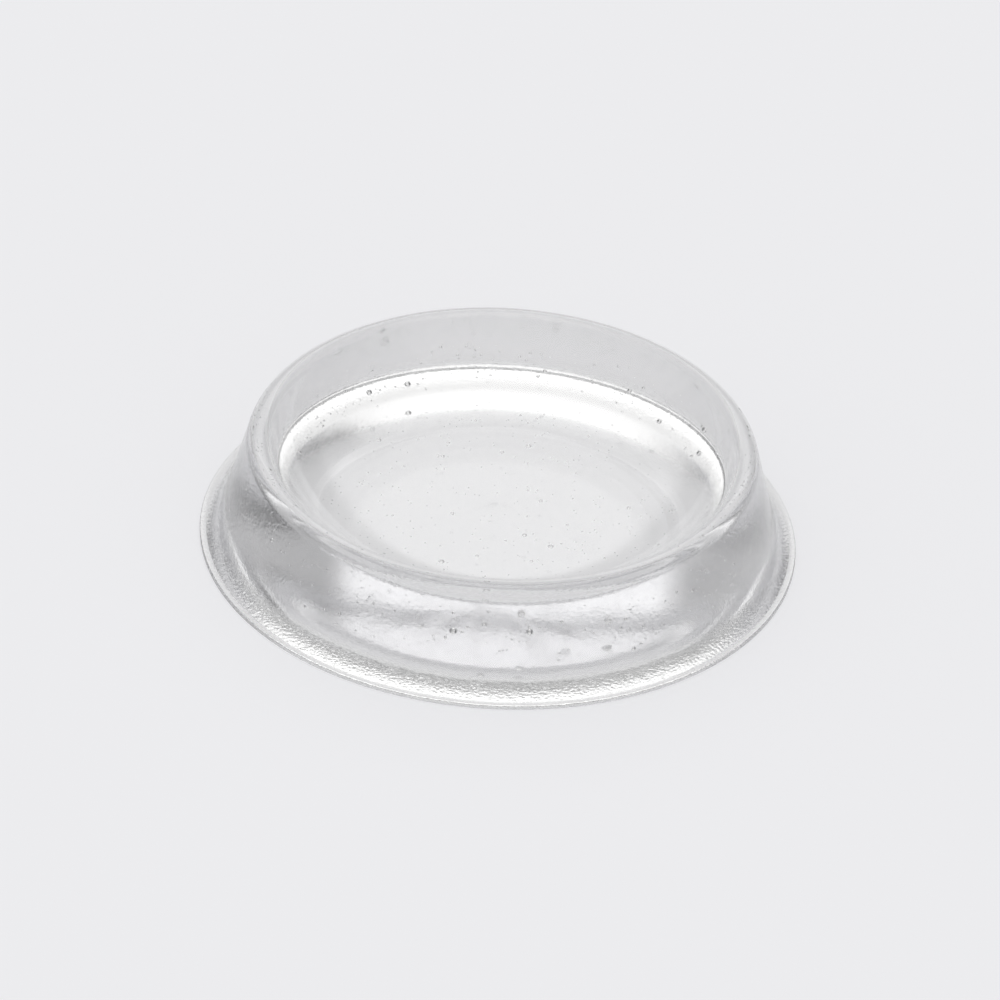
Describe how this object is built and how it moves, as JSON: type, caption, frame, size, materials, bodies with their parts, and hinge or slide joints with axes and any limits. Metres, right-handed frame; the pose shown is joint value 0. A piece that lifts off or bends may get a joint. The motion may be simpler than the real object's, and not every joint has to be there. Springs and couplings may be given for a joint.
{
  "type": "cabinet door bumper",
  "caption": "Clear round self-adhesive bumper pad with a flared foot, rounded rim and recessed top, stuck inside a cabinet door or drawer to soften its closing.",
  "frame": {"origin": "centre of the flat base that is stuck to the door", "axes": "+Z out of the base along the axis of the round pad, X and Y in the plane of the base"},
  "size_m": [0.0254, 0.0254, 0.0049],
  "materials": {
    "clear_plastic": "clear, water-white and glossy, soft moulded polyurethane with a few fine specks and bubbles"
  },
  "bodies": {
    "root": {"bumper": "clear_plastic"}
  },
  "joints": []
}
